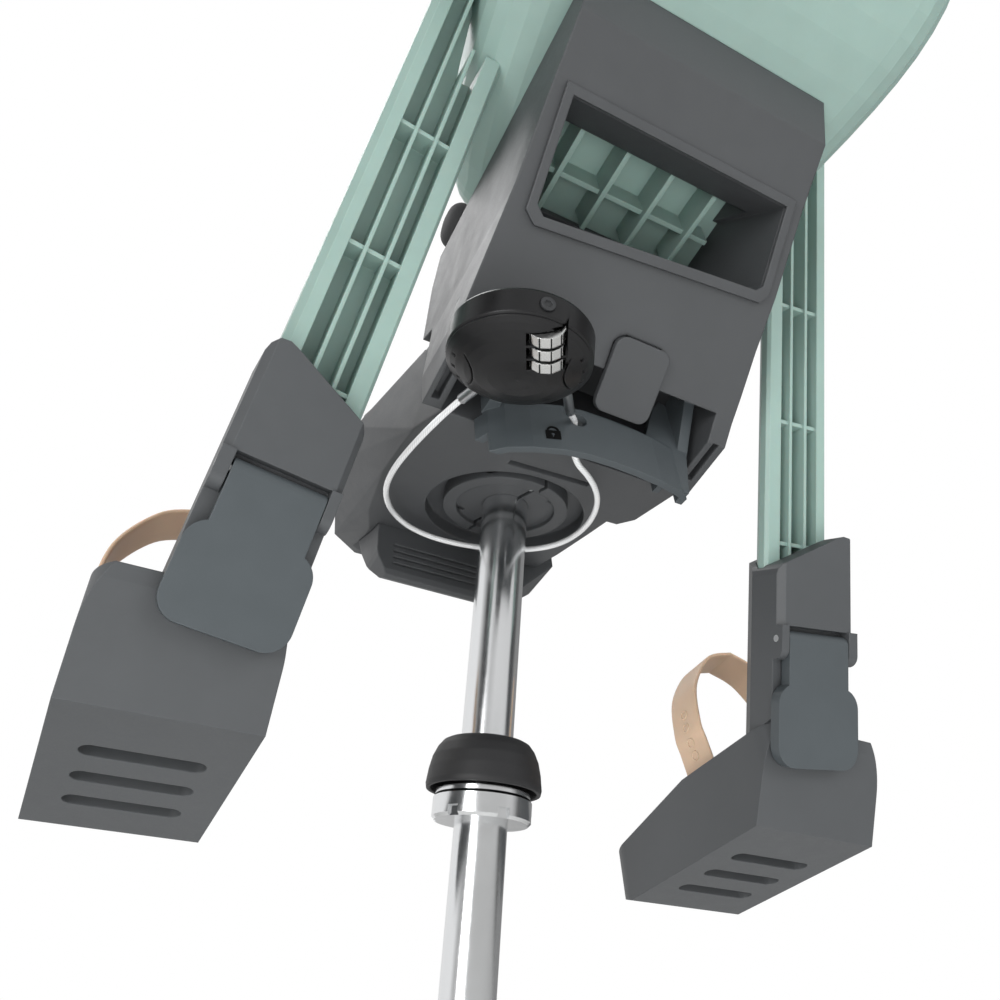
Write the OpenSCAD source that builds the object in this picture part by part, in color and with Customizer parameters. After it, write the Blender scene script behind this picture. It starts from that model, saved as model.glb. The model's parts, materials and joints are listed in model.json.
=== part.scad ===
// Front-mounted child bicycle seat on a short mounting post, child facing -Y, +Z up.
// Origin: post axis at the underside of the lock nut.

/* [Mounting post] */
// Post radius
post_r = 11.25; // [10:0.05:13]
// Radius of the quill below the nut
quill_r = 11.1; // [10:0.05:13]
// Post wall thickness
post_wall = 2.2; // [1.5:0.1:4]
// Distance along the post from the nut to the bracket plate
post_reach = 150; // [140:1:165]
// Length of post below the nut
quill_len = 88; // [60:1:110]
// Backward lean of the post in degrees
lean = 15; // [12:0.5:18]
// Lock nut radius
nut_r = 20.8; // [19:0.1:22]
// Boot radius at its lower rim
boot_r = 24.6; // [22:0.1:27]

/* [Base and console] */
// Half width of the console underside
console_hw = 66; // [62:1:68]
// Half width of the base flange
flange_hw = 76; // [74:1:80]
// Depth of the round recess around the post
recess_depth = 7; // [4:0.5:9]
// Radius of the round recess around the post
recess_r = 40; // [36:0.5:40]
// Height of the pan underside above the plate centre
pan_z = 100; // [98:1:104]

/* [Seat shell] */
// Shell wall thickness
shell_t = 4; // [3:0.5:6]
// Sideways flare of the shell walls
shell_flare = 0.1; // [0:0.01:0.2]

/* [Legs and footrests] */
// Leg guard width
leg_w = 38; // [34:1:42]
// Leg guard depth
leg_t = 17; // [14:1:20]
// Forward slope of the legs in degrees
leg_slope = 30.9; // [28:0.1:34]
// Outward splay of the legs in degrees
leg_splay = 7.24; // [5:0.01:9]
// Gap between a footrest sleeve and its leg
slide_gap = 0.35; // [0.3:0.05:0.6]
// Foot tray outside width
tray_w = 66; // [60:1:76]
// Foot tray length
tray_l = 128; // [110:1:140]

/* [Release handle and tab] */
// Half width of the release handle
handle_hw = 46; // [44:1:48]
// Handle wall thickness
handle_t = 3; // [2.5:0.5:4]
// Radius of the hole in the handle wall
hole_r = 3.8; // [3:0.1:4]

/* [Combination lock] */
// Lock body radius
lock_r = 27.7; // [26:0.1:28]
// Dial radius
dial_r = 7; // [6.6:0.1:7.1]
// Dial width
dial_w = 4.2; // [3.8:0.1:4.3]
// Wire radius
wire_r = 1.5; // [1:0.1:1.6]

/* [Hidden] */
q = [0, post_reach*sin(lean), post_reach*cos(lean)];
leg_origin = [100.6, 52.9, -67.5];
lock_c = [52.3, 110, -28.9];
lock_tilt = -17.9;
pin_gap = 0.05;
pivot_y = 90;
pivot_z = 14;
rib_z = [31, 90, 150];

// Shell spine, inner surface, as [y, z] above the plate centre
spine = [[84, 120], [88, 113], [95, 107], [108, 104], [140, 104], [180, 104], [214, 105], [240, 110],
    [261, 120], [276, 136], [286, 158], [293, 186], [300, 225], [308, 265], [316, 305], [324, 342],
    [331, 372], [336, 390], [339, 401], [341, 407]];
// Half width of the shell at each spine point
half_w = [60, 64, 69, 75, 83, 89, 93, 96, 98, 100, 102, 104, 108, 112, 113, 108, 98, 84, 64, 40];
// Wall height of the shell at each spine point
wall_h = [9, 13, 20, 32, 50, 64, 76, 86, 94, 98, 98, 94, 85, 75, 64, 52, 40, 28, 18, 10];
fan_y = 160;
fan_z = 275;
corner_r = 20;

module lv() {
    translate(q) children();
}

module pf() {
    rotate([-lean, 0, 0]) children();
}

module pq() {
    pf() translate([0, 0, post_reach]) children();
}

module leg_frame() {
    lv() translate(leg_origin) rotate([-leg_slope, 0, 0]) rotate([0, -leg_splay, 0]) children();
}

module lock_frame() {
    lv() translate(lock_c) rotate([lock_tilt, 0, 0]) children();
}

module xprism(w, pts) {
    rotate([90, 0, 90]) translate([0, 0, -w/2]) linear_extrude(w) polygon(pts);
}

module yprism(y0, y1, pts) {
    translate([0, y1, 0]) rotate([90, 0, 0]) linear_extrude(y1 - y0) polygon(pts);
}

module rbox(x0, x1, y0, y1, z0, z1, r) {
    translate([0, 0, z0]) linear_extrude(z1 - z0) rrect(x0, x1, y0, y1, r);
}

module rrect(x0, x1, y0, y1, r) {
    translate([x0 + r, y0]) square([x1 - x0 - 2*r, y1 - y0]);
    translate([x0, y0 + r]) square([x1 - x0, y1 - y0 - 2*r]);
    for (x = [x0 + r, x1 - r]) for (y = [y0 + r, y1 - r]) translate([x, y]) circle(r, $fn = 48);
}

module bx(x0, x1, y0, y1, z0, z1) {
    translate([x0, y0, z0]) cube([x1 - x0, y1 - y0, z1 - z0]);
}

// Sweep of a round section along points
function unit(v) = v/norm(v);
function tang(p, i) = i == 0 ? unit(p[1] - p[0])
    : i == len(p) - 1 ? unit(p[i] - p[i-1]) : unit(p[i+1] - p[i-1]);
function side_of(t, u) = unit(cross(u, t));
function ring_pts(p, i, r, n, u) = let(t = tang(p, i), a = side_of(t, u), b = cross(t, a))
    [for (k = [0:n-1]) p[i] + r*(cos(360*k/n)*a + sin(360*k/n)*b)];
module tube(p, r, n, u) {
    pts = [for (i = [0:len(p)-1]) each ring_pts(p, i, r, n, u)];
    sides = [for (i = [0:len(p)-2]) for (k = [0:n-1]) let(a = i*n + k, b = i*n + (k+1)%n)
        each [[a, b, a + n], [b, b + n, a + n]]];
    caps = [[for (k = [n-1:-1:0]) k], [for (k = [0:n-1]) (len(p)-1)*n + k]];
    polyhedron(pts, concat(sides, caps), convexity = 8);
}
function smooth_pts(p, m) = [for (i = [0:len(p)-2]) for (j = [0:m-1]) crom(p, i, j/m), p[len(p)-1]];
function pick(p, i) = p[max(0, min(len(p)-1, i))];
function crom(p, i, t) = let(a = pick(p, i-1), b = pick(p, i), c = pick(p, i+1), d = pick(p, i+2))
    0.5*(2*b + (c - a)*t + (2*a - 5*b + 4*c - d)*t*t + (3*b - a - 3*c + d)*t*t*t);

// Seat shell sections
function half_in(w, h, r, t) = let(c = min(r, h*0.8), f = shell_flare)
    [for (k = [0:5]) [w - c + (c + t)*sin(18*k), c - (c + t)*cos(18*k)], [w + t + f*(h - c), h]];
function flip(v) = [for (i = [len(v)-1:-1:0]) [-v[i][0], v[i][1]]];
function place_sec(s, y, z) = let(d = unit([fan_y - y, fan_z - z]))
    [for (v = s) [v[0], y + d[0]*v[1], z + d[1]*v[1]]];
function shell_ring(yz, w, h) = let(hi = half_in(w, h, corner_r, 0), ho = half_in(w, h, corner_r, shell_t))
    place_sec(concat(flip(hi), hi, [for (i = [len(ho)-1:-1:0]) ho[i]], [for (v = ho) [-v[0], v[1]]]),
        yz[0], yz[1]);
spine_s = smooth_pts(spine, 2);
half_s = smooth_pts(half_w, 2);
wall_s = smooth_pts(wall_h, 2);
module shell_body() {
    n = 28;
    m = len(spine_s);
    pts = [for (i = [0:m-1]) each shell_ring(spine_s[i], half_s[i], wall_s[i])];
    sides = [for (i = [0:m-2]) for (k = [0:n-1]) let(a = i*n + k, b = i*n + (k+1)%n)
        each [[a, a + n, b], [b, a + n, b + n]]];
    cap0 = [for (k = [0:12]) each [[k, k + 1, 27 - k], [k + 1, 26 - k, 27 - k]]];
    e = (m-1)*n;
    cap1 = [for (k = [0:12]) each [[e + k, e + 27 - k, e + k + 1], [e + k + 1, e + 27 - k, e + 26 - k]]];
    polyhedron(pts, concat(sides, cap0, cap1), convexity = 10);
}
function rim_x(i) = half_s[i] + shell_t/2 + shell_flare*(wall_s[i] - min(corner_r, wall_s[i]*0.8));
function rim_pt(i, s) = place_sec([[s*rim_x(i), wall_s[i] + 1.5]], spine_s[i][0], spine_s[i][1])[0];

// Mounting post with an oblique lower end
module mounting_post() color([0.82, 0.83, 0.85]) pf() difference() {
    union() {
        translate([0, 0, -quill_len]) cylinder(r = quill_r, h = quill_len + 1, $fn = 96);
        cylinder(r = post_r, h = post_reach + 26, $fn = 96);
    }
    translate([0, 0, -quill_len - 1]) cylinder(r = post_r - post_wall, h = quill_len + post_reach + 40, $fn = 96);
    translate([0, 0, -quill_len]) rotate([30, 0, 0]) translate([-20, -30, -40]) cube([40, 60, 40]);
}

module quill_wedge() color([0.6, 0.61, 0.63]) pf() difference() {
    translate([0, 0, -quill_len - 22]) cylinder(r = quill_r - 0.3, h = 34, $fn = 96);
    translate([0, 0, -quill_len - 0.3]) rotate([30, 0, 0]) translate([-20, -30, 0]) cube([40, 60, 40]);
    translate([0, 0, -quill_len - 30]) cylinder(r = 4, h = 60, $fn = 48);
}

module quill_bolt() color([0.7, 0.71, 0.73]) pf() {
    translate([0, 0, -quill_len - 20]) cylinder(r = 4, h = quill_len + post_reach + 46, $fn = 48);
    difference() {
        translate([0, 0, post_reach + 26]) cylinder(r = 10.6, h = 6, $fn = 96);
        translate([0, 0, post_reach + 29]) cylinder(r = 4, h = 6, $fn = 6);
    }
}

module post_boot() color([0.1, 0.1, 0.11]) pf() rotate_extrude($fn = 96)
    polygon([[post_r, 33], [17.5, 33], [19, 32.2], [21, 29.6], [22.8, 25.5], [23.9, 20.5], [boot_r, 14.5], [boot_r - 0.4, 12.6],
        [boot_r - 2, 12.6], [boot_r - 2.6, 20], [20, 27], [16, 30], [post_r, 30]]);

module post_nut() color([0.8, 0.81, 0.83]) pf() difference() {
    rotate_extrude($fn = 96) polygon([[post_r, 0], [nut_r - 1.2, 0], [nut_r, 1.2], [nut_r, 9], [nut_r - 0.8, 10.2], [nut_r - 0.8, 12], [post_r, 12]]);
    for (a = [30:60:330]) rotate([0, 0, a]) translate([nut_r - 1.6, -2.5, -1]) cube([4, 5, 5]);
}

module clamp_half(s) {
    difference() {
        translate([0, 0, -1]) cylinder(r = 31, h = recess_depth + 1, $fn = 96);
        translate([0, 0, -3]) cylinder(r = 24.5, h = 4.6, $fn = 96);
        translate([0, 0, -3]) cylinder(r = post_r, h = 20, $fn = 96);
        translate([s > 0 ? -40 : -1, -40, -5]) cube([41, 80, 30]);
        for (y = [-19, 19]) translate([-30, y, 4.2]) rotate([0, 90, 0]) cylinder(r = 2, h = 60, $fn = 48);
        for (y = [-19, 19]) translate([s > 0 ? 12 : -32, y, 4.2]) rotate([0, 90, 0]) cylinder(r = 2.6, h = 20, $fn = 48);
    }
}

module clamp_half_left() color([0.36, 0.37, 0.39]) pq() rotate([0, 0, 12]) clamp_half(1);
module clamp_half_right() color([0.36, 0.37, 0.39]) pq() rotate([0, 0, 12]) clamp_half(-1);

module clamp_bolt(y) {
    pq() rotate([0, 0, 12]) translate([0, y, 4.2]) rotate([0, 90, 0]) difference() {
        union() {
            translate([0, 0, -12]) cylinder(r = 2, h = 26, $fn = 48);
            translate([0, 0, 12]) cylinder(r = 2.6, h = 4, $fn = 48);
        }
        translate([0, 0, 14.5]) cylinder(r = 1.4, h = 4, $fn = 6);
    }
}
module clamp_bolt_front() color([0.72, 0.73, 0.75]) clamp_bolt(-19);
module clamp_bolt_rear() color([0.72, 0.73, 0.75]) clamp_bolt(19);

// Outline of the bracket plate and of the flange above it
plate_pts = [[60, 64], [66, 40], [65, 0], [58, -40], [50, -62], [-44, -62], [-48, -30], [-49, 0], [-50, 64]];
flange_pts = [[62, 57], [66, 30], [70, 12], [flange_hw, -8], [flange_hw, -32], [66, -72], [60, -90], [44, -101],
    [-40, -101], [-52, -90], [-59, -72], [6 - flange_hw, -32], [8 - flange_hw, -8], [-65, 14], [-62, 57]];
wing_pts = [[-40, 16], [-55, 17], [-60, 26], [-61, 64], [-40, 64]];
module base_housing() color([0.27, 0.27, 0.28]) difference() {
    union() {
        hull() {
            pq() linear_extrude(1) polygon(plate_pts);
            lv() translate([0, 0, 33]) linear_extrude(4) polygon(flange_pts);
        }
        hull() {
            pq() linear_extrude(1) polygon(wing_pts);
            lv() translate([0, 0, 33]) linear_extrude(4) polygon([[-40, 14], [-65, 14], [-62, 57], [-40, 57]]);
        }
        lv() translate([0, 0, 37]) linear_extrude(6) polygon([for (p = flange_pts) p*0.97]);
    }
    pq() translate([-2, -5, -2]) cylinder(r = recess_r, h = recess_depth + 2, $fn = 128);
    pq() cylinder(r = post_r, h = 90, $fn = 96);
    pq() translate([0, 0, 20]) cylinder(r = 16, h = 60, $fn = 96);
    lv() bx(-90, 90, 57.9, 140, -60, 36);
    lv() bx(-90, 90, 46.9, 140, 36, 60);
    pq() rotate([0, 0, -4]) bx(-25.5, 15.5, 38.5, 42.5, -3, 5);
    lv() bx(-58.2, 48.2, -120, -50, -40, 30.2);
}

// Front bumper block under the base
module front_bumper() color([0.2, 0.2, 0.21]) lv() difference() {
    translate([-5, 0, 0]) xprism(106, [[-50.2, 30], [-50.2, -15], [-51.5, -18], [-54, -18.4], [-58, -16], [-66, -4], [-76, 12], [-84, 30]]);
    for (z = [-11, -7, -3, 1]) bx(-34, 39, -51.2, -49, z, z + 1);
    yprism(-100, -40, [[40, -24], [62, -24], [62, -3], [48.2, -3], [47.3, -8], [44.6, -13.5]]);
    yprism(-100, -40, [[-16, -24], [-66, 26], [-70, 26], [-70, -24]]);
}

// Console between the base and the seat pan
console_side = [[58, -15.5], [88, -12], [96, -4], [137, 30.5], [172, 60], [196, 78], [206, pan_z], [60, pan_z], [52, 80], [47, 44], [58, 38]];
console_rear = [[-66, -30], [70, -30], [70, 2], [console_hw + 2, 18], [console_hw, 34], [console_hw - 4, pan_z],
    [-console_hw + 4, pan_z], [-console_hw, 34], [-console_hw + 0.5, 18], [-66, 4]];
window_pts = [[-54, 11], [51, 1.5], [55, 5], [55, 50], [-55, 50], [-57, 14]];
module face_frame() {
    translate([0, 132.5, 26.7]) rotate([40, 0, 0]) translate([0, 0, -2]) children();
}
module tab_frame() {
    translate([-10.5, 111, 6]) rotate([34.7, 0, 0]) children();
}
module base_console() color([0.29, 0.29, 0.3]) lv() difference() {
    intersection() {
        xprism(152, console_side);
        yprism(40, 220, console_rear);
    }
    bx(-56.5, 61.5, 50, 97.5, -40, 34);
    intersection() {
        face_frame() linear_extrude(90) polygon(window_pts);
        bx(-60, 60, 106, 220, -20, 120);
    }
    bx(-52, 52, 110, 190, 78, 120);
    bx(-90, 90, 40, 230, pan_z - 0.25, pan_z + 10);
    for (x = [-44, 44]) for (y = [78, 98]) translate([x, y, 90]) cylinder(r = 3, h = 20, $fn = 48);
    tab_frame() translate([0, 0, -2.2]) linear_extrude(5.1) rrect(-13.9, 13.9, -40, 0.4, 5.4);
    tab_frame() bx(-13.9, 13.9, -40, -3.2, -2.2, 8.2);
    translate([-10.5, 0, 0]) xprism(19, [[104.2, -2], [110.4, -2], [110.4, 9.4], [112.7, 10.8], [112.7, 15], [104.2, 15]]);
    translate([-24, 109, 11.5]) rotate([0, 90, 0]) cylinder(r = 1.5, h = 27, $fn = 48);
    bx(-58, 58, 66, 112, 40, pan_z - 4);
    translate([-64, pivot_y, pivot_z]) rotate([0, 90, 0]) cylinder(r = 3, h = 132, $fn = 64);
    bx(64.2, 67.8, 62, 86, -20, -9);
    bx(-62.6, -59.4, 66, 88, -20, -8);
}

module console_fascia() color([0.24, 0.24, 0.25]) lv() face_frame() translate([0, 0, 0.4]) linear_extrude(1.4) difference() {
    polygon([[-58, 6.6], [53.5, -3], [59, 1.5], [59, 54], [-59, 54], [-61.5, 11]]);
    polygon(window_pts);
}

// Mint bucket shell
module seat_shell() color([0.66, 0.83, 0.77]) lv() difference() {
    shell_body();
    for (s = [-1, 1]) for (z = [273, 323]) translate([s*36, 320, z]) cube([32, 60, 5], center = true);
    translate([0, 170, 100]) cube([34, 6, 20], center = true);
}

module shell_rim() color([0.62, 0.8, 0.74]) lv() {
    m = len(spine_s);
    left = [for (i = [0:m-1]) rim_pt(i, 1)];
    right = [for (i = [m-1:-1:0]) rim_pt(i, -1)];
    top = smooth_pts([left[m-1], [32, 340.5, 409], [16, 342, 411], [0, 342.3, 411.5], [-16, 342, 411], [-32, 340.5, 409], right[0]], 2);
    tube(concat([for (i = [0:m-2]) left[i]], top, [for (i = [1:m-1]) right[i]]), 3.6, 10, [0, -0.5, 0.4]);
}

module pan_ribs() color([0.6, 0.78, 0.72]) lv() {
    for (x = [-36, -12, 12, 36]) bx(x - 1.2, x + 1.2, 112, 188, 82, 99.75);
    for (y = [130, 158]) bx(-49, 49, y - 1.2, y + 1.2, 86, 99.75);
}

module seat_bolts() color([0.7, 0.71, 0.73]) lv() for (x = [-44, 44]) for (y = [78, 98]) translate([x, y, 0]) {
    translate([0, 0, pan_z - 4]) cylinder(r = 3, h = 3.9, $fn = 48);
    translate([0, 0, pan_z - 8]) cylinder(r = 5.5, h = 4, $fn = 48);
}

// Leg guards: ribbed channels hanging from the pan sides
module leg_outline(g) {
    polygon([[-g, -5 + g/2], [-g, -1.4], [1.4 - g, g], [leg_w - 3 + g, g], [leg_w + g, -3], [leg_w + g, -leg_t + 4 - g],
        [leg_w - 4 + g, -leg_t - g], [11, -leg_t - g], [8 - g, -leg_t + 1.6 - g]]);
}
module leg_body() {
    difference() {
        leg_frame() difference() {
            translate([0, 0, -12]) linear_extrude(272) difference() {
                leg_outline(0);
                for (x = [[8, 13.2], [14.8, 22.2], [23.8, leg_w - 8]]) translate([x[0], -leg_t + 4]) square([x[1] - x[0], 30]);
            }
        }
        lv() bx(-300, 91, 60, 400, 103.6, 500);
        lv() bx(-300, 300, 60, 500, 150, 500);
    }
    leg_frame() for (z = rib_z) bx(7, leg_w - 6, -leg_t + 3.8, -1.2, z - 0.9, z + 0.9);
}
module left_leg() color([0.68, 0.84, 0.78]) leg_body();
module right_leg() color([0.68, 0.84, 0.78]) mirror([1, 0, 0]) leg_body();

// Footrest sleeves sliding on the legs
module sleeve_body() {
    difference() {
        leg_frame() difference() {
            union() {
                intersection() {
                    yprism(-22, 12, [[-1.7, 14.5], [-1.2, 17], [0.5, 19.4], [31, 34.4], [35, 36], [38.5, 35.6], [41, 33.2], [42, 30], [42, -8], [-1.7, -8]]);
                    translate([0, 0, -9]) linear_extrude(60) polygon([[-1.7, -7], [-1.7, 9], [1, 12], [39, 12], [42, 9], [42, -18], [38, -22], [9, -22]]);
                }
                translate([0, 0, -80]) linear_extrude(72.1) polygon([[-1.7, -7], [-1.7, 7], [42, 7], [42, -18], [38, -22], [9, -22]]);
                for (x = [[-1.7, 2.3], [37, 42]]) {
                    bx(x[0], x[1], 6, 13, -18, -7.9);
                    translate([x[0], 8, -18]) rotate([0, 90, 0]) cylinder(r = 5, h = x[1] - x[0], $fn = 64);
                }
            }
            translate([0, 0, -90]) linear_extrude(150) leg_outline(slide_gap);
            translate([-10, 9, -14]) rotate([0, 90, 0]) cylinder(r = 1.5, h = 60, $fn = 48);
            translate([2.3, 9, -14]) rotate([0, 90, 0]) cylinder(r = 4.2, h = 34.7, $fn = 64);
        }
        lv() bx(0, 300, -200, 200, -300, -112);
    }
}
module left_footrest() color([0.36, 0.37, 0.39]) sleeve_body();
module right_footrest() color([0.36, 0.37, 0.39]) mirror([1, 0, 0]) sleeve_body();

module flap_pin() {
    leg_frame() translate([-1.7, 9, -14]) rotate([0, 90, 0]) cylinder(r = 1.5, h = 43.7, $fn = 48);
}
module left_flap_pin() color([0.7, 0.71, 0.73]) flap_pin();
module right_flap_pin() color([0.7, 0.71, 0.73]) mirror([1, 0, 0]) flap_pin();

// Height release flaps behind the sleeves
module flap_body() {
    leg_frame() difference() {
        union() {
            translate([0, 13, 0]) rotate([90, 0, 0]) linear_extrude(5.2) union() {
                translate([2.6, -36]) square([33.8, 22]);
                rrect(-3, 42, -68, -33, 9);
            }
            translate([2.6, 9, -14]) rotate([0, 90, 0]) cylinder(r = 4, h = 33.8, $fn = 64);
        }
        translate([-10, 9, -14]) rotate([0, 90, 0]) cylinder(r = 1.5 + pin_gap, h = 60, $fn = 48);
        bx(-10, 50, 0, 7.6, -40, -18.2);
    }
}
module left_flap() color([0.38, 0.39, 0.42]) flap_body();
module right_flap() color([0.38, 0.39, 0.42]) mirror([1, 0, 0]) flap_body();

// Foot trays under the sleeves
module tray_body() {
    lv() difference() {
        intersection() {
            translate([104 + tray_w/2, 0, 0]) xprism(tray_w, [[33.5, -112], [31, -117], [10.5, -150], [-tray_l + 44, -150], [-tray_l + 34, -146],
                [-tray_l + 31, -138], [-tray_l + 34, -124], [-30, -112]]);
            rbox(104, 104 + tray_w, -tray_l + 30, 36, -160, -100, 14);
        }
        rbox(107, 101 + tray_w, -tray_l + 33, 2, -146, -90, 11);
        for (y = [-64, -44, -24]) rbox(116, 92 + tray_w, y, y + 8, -160, -140, 3.9);
    }
}
module left_foot_tray() color([0.34, 0.35, 0.37]) tray_body();
module right_foot_tray() color([0.34, 0.35, 0.37]) mirror([1, 0, 0]) tray_body();

// Flat ribbon along [y, z] points
function nrm(p, i) = let(a = p[max(0, i-1)], b = p[min(len(p)-1, i+1)], d = unit(b - a)) [-d[1], d[0]];
function ribbon_pts(p, t) = concat([for (i = [0:len(p)-1]) p[i] + nrm(p, i)*t/2], [for (i = [len(p)-1:-1:0]) p[i] - nrm(p, i)*t/2]);
module ribbon(p, t, x0, x1) {
    translate([(x0 + x1)/2, 0, 0]) xprism(x1 - x0, ribbon_pts(p, t));
}

// Foot straps arching over the trays, buttoned on studs
strap_t = 1.8;
strap_y = -19.5;
strap_x = tray_w/2 - 3 - strap_t/2 - 0.05;
half_arch = smooth_pts([[-strap_x, -128], [-strap_x, -119], [-strap_x, -110.5], [-strap_x - 1.6, -100], [-strap_x - 3, -90], [-29, -70], [-16, -51.5], [0, -45]], 4);
arch = concat(half_arch, [for (i = [len(half_arch)-2:-1:0]) [-half_arch[i][0], half_arch[i][1]]]);
module foot_strap() {
    lv() translate([104 + tray_w/2, 0, 0]) difference() {
        yprism(strap_y - 10, strap_y + 10, ribbon_pts(arch, strap_t));
        translate([-60, strap_y, -122]) rotate([0, 90, 0]) cylinder(r = 2.25, h = 120, $fn = 48);
    }
}
module strap_studs() {
    lv() translate([104 + tray_w/2, strap_y, -122]) for (s = [-1, 1]) translate([s*(tray_w/2 - 3), 0, 0]) rotate([0, -90*s, 0]) {
        cylinder(r = 2.2, h = 2.4, $fn = 48);
        translate([0, 0, 2]) cylinder(r = 4, h = 1.4, $fn = 48);
    }
}
module left_foot_strap() color([0.86, 0.7, 0.55]) foot_strap();
module right_foot_strap() color([0.86, 0.7, 0.55]) mirror([1, 0, 0]) foot_strap();
module left_strap_studs() color([0.3, 0.31, 0.33]) strap_studs();
module right_strap_studs() color([0.3, 0.31, 0.33]) mirror([1, 0, 0]) strap_studs();

// Release handle: a hollow scoop on two arms
handle_out = [[-handle_hw, 60], [-handle_hw - 0.5, 76], [2 - handle_hw, 78.3], [-41, 79], [-30, 80.9], [-18, 81.8], [-6, 82.1], [5, 81.7],
    [16, 80], [29, 75.8], [38.5, 71.4], [handle_hw - 2, 66.5], [handle_hw + 1, 60]];
handle_in = [[3 - handle_hw, 59], [3 - handle_hw, 75.2], [-41, 75.8], [-30, 77.7], [-18, 78.7], [-6, 79], [5, 78.6],
    [15, 77], [27.6, 73], [36.4, 69], [handle_hw - 4.8, 64.8], [handle_hw - 2.4, 59]];
module release_handle() color([0.38, 0.39, 0.42]) lv() difference() {
    union() {
        translate([0, 0, -41]) linear_extrude(27) polygon(handle_out);
        yprism(75, 78.6, [[-44, -40], [-46, -40], [-51.5, -10], [-51.5, 16], [-42, 18], [-37, 10], [-28, -14], [-28, -20]]);
        translate([-48.8, 0, 0]) xprism(5.4, [[70, -14], [78, -14], [91, 8], [84, 20], [75, 16], [70, 4]]);
        translate([42.75, 0, 0]) xprism(5.5, [[64, -16], [72, -16], [91, 8], [84, 20], [75, 16], [64, 0]]);
        for (x = [-51.5, 40]) translate([x, pivot_y, pivot_z]) rotate([0, 90, 0]) cylinder(r = 6.5, h = 5.5, $fn = 64);
    }
    translate([0, 0, -42]) linear_extrude(42 - 14 - handle_t) polygon(handle_in);
    bx(-60, 60, 50, 64, -17, -10);
    yprism(50, 72, [[-53, -42], [-53, -24], [-38, -24], [-38, -42]]);
    yprism(50, 66, [[52, -42], [52, -30], [38, -30], [38, -42]]);
    translate([-60, pivot_y, pivot_z]) rotate([0, 90, 0]) cylinder(r = 3 + pin_gap, h = 120, $fn = 64);
    translate([8.8, 84, -21]) rotate([90, 0, 0]) cylinder(r = hole_r, h = 12, $fn = 64);
}

module handle_symbol() color([0.12, 0.12, 0.13]) lv() translate([20.6, 78.55, -30.6]) rotate([0, 0, -17.9]) rotate([-90, 0, 0]) {
    difference() {
        translate([-3.1, 0, 0]) cube([6.2, 4.8, 0.35]);
        translate([0, 2, -1]) cylinder(r = 0.8, h = 3, $fn = 32);
        translate([-0.35, 2, -1]) cube([0.7, 1.8, 3]);
    }
    difference() {
        cylinder(r = 2.6, h = 0.35, $fn = 48);
        translate([0, 0, -1]) cylinder(r = 1.8, h = 3, $fn = 48);
        translate([-4, 0, -1]) cube([8, 8, 3]);
    }
}

module handle_pins() color([0.66, 0.67, 0.69]) lv() {
    translate([-64, pivot_y, pivot_z]) rotate([0, 90, 0]) cylinder(r = 3, h = 18, $fn = 64);
    translate([40, pivot_y, pivot_z]) rotate([0, 90, 0]) cylinder(r = 3, h = 28, $fn = 64);
}

coil = [for (i = [0:72]) [i*0.17, 4.6*cos(30*i), 4.6*sin(30*i)]];
module handle_spring() color([0.6, 0.61, 0.63]) lv() translate([46.8, pivot_y, pivot_z]) tube(coil, 0.7, 8, [1, 0, 0]);

// Safety tab over the handle
module safety_tab() color([0.31, 0.31, 0.32]) lv() difference() {
    union() {
        tab_frame() translate([0, 0, -1.6]) linear_extrude(3.2) rrect(-13.5, 13.5, -33, 0, 5);
        bx(-17.5, -3.5, 105.8, 110.1, 5, 11);
        translate([-17.5, 109, 11.5]) rotate([0, 90, 0]) cylinder(r = 2.4, h = 14, $fn = 64);
    }
    translate([-30, 109, 11.5]) rotate([0, 90, 0]) cylinder(r = 1.5 + pin_gap, h = 40, $fn = 48);
}
module tab_pin() color([0.66, 0.67, 0.69]) lv() translate([-24, 109, 11.5]) rotate([0, 90, 0]) cylinder(r = 1.5, h = 27, $fn = 48);

// Combination lock hanging beside the handle
dial_pitch = 5.7;
dial_mid = [-2.4, 16.7, -9.3];
plug_a = [27.3, 100.7, -30.1];
plug_b = [17, 87.2, -26.4];
ferrule_a = [54.7, 87.7, -24.95];
ferrule_b = [59, 72.5, -23.1];
module dial_frame() {
    translate(dial_mid) rotate([0, 0, -30.5]) rotate([-76, 0, 0]) children();
}
module stick(a, b, r) {
    v = b - a;
    translate(a) rotate([0, acos(v[2]/norm(v)), atan2(v[1], v[0])]) cylinder(r = r, h = norm(v), $fn = 48);
}
module axle_hole() {
    dial_frame() translate([0, 0, -10.2]) cylinder(r = 1.5, h = 20.4, $fn = 48);
    dial_frame() bx(-7.5, 7.5, -7.5, 2.4, -9, 9);
}
module button_hole(g) {
    rotate([0, 0, -8]) translate([0, 19.5, -1.6]) rotate([-90, 0, 0]) cylinder(r = 2.8 + g, h = 12, $fn = 48);
}
module lock_back_shell() color([0.11, 0.11, 0.12]) difference() {
    lock_frame() difference() {
        rotate_extrude($fn = 128) polygon([[0, 5], [25.6, 5], [27, 4.4], [lock_r, 3.2], [lock_r, -6.2], [lock_r - 0.6, -7], [0, -7]]);
        axle_hole();
        button_hole(pin_gap);
    }
    lv() stick(plug_a, plug_b, 2);
    lv() stick(ferrule_a, ferrule_b, 2.3);
}
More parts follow.
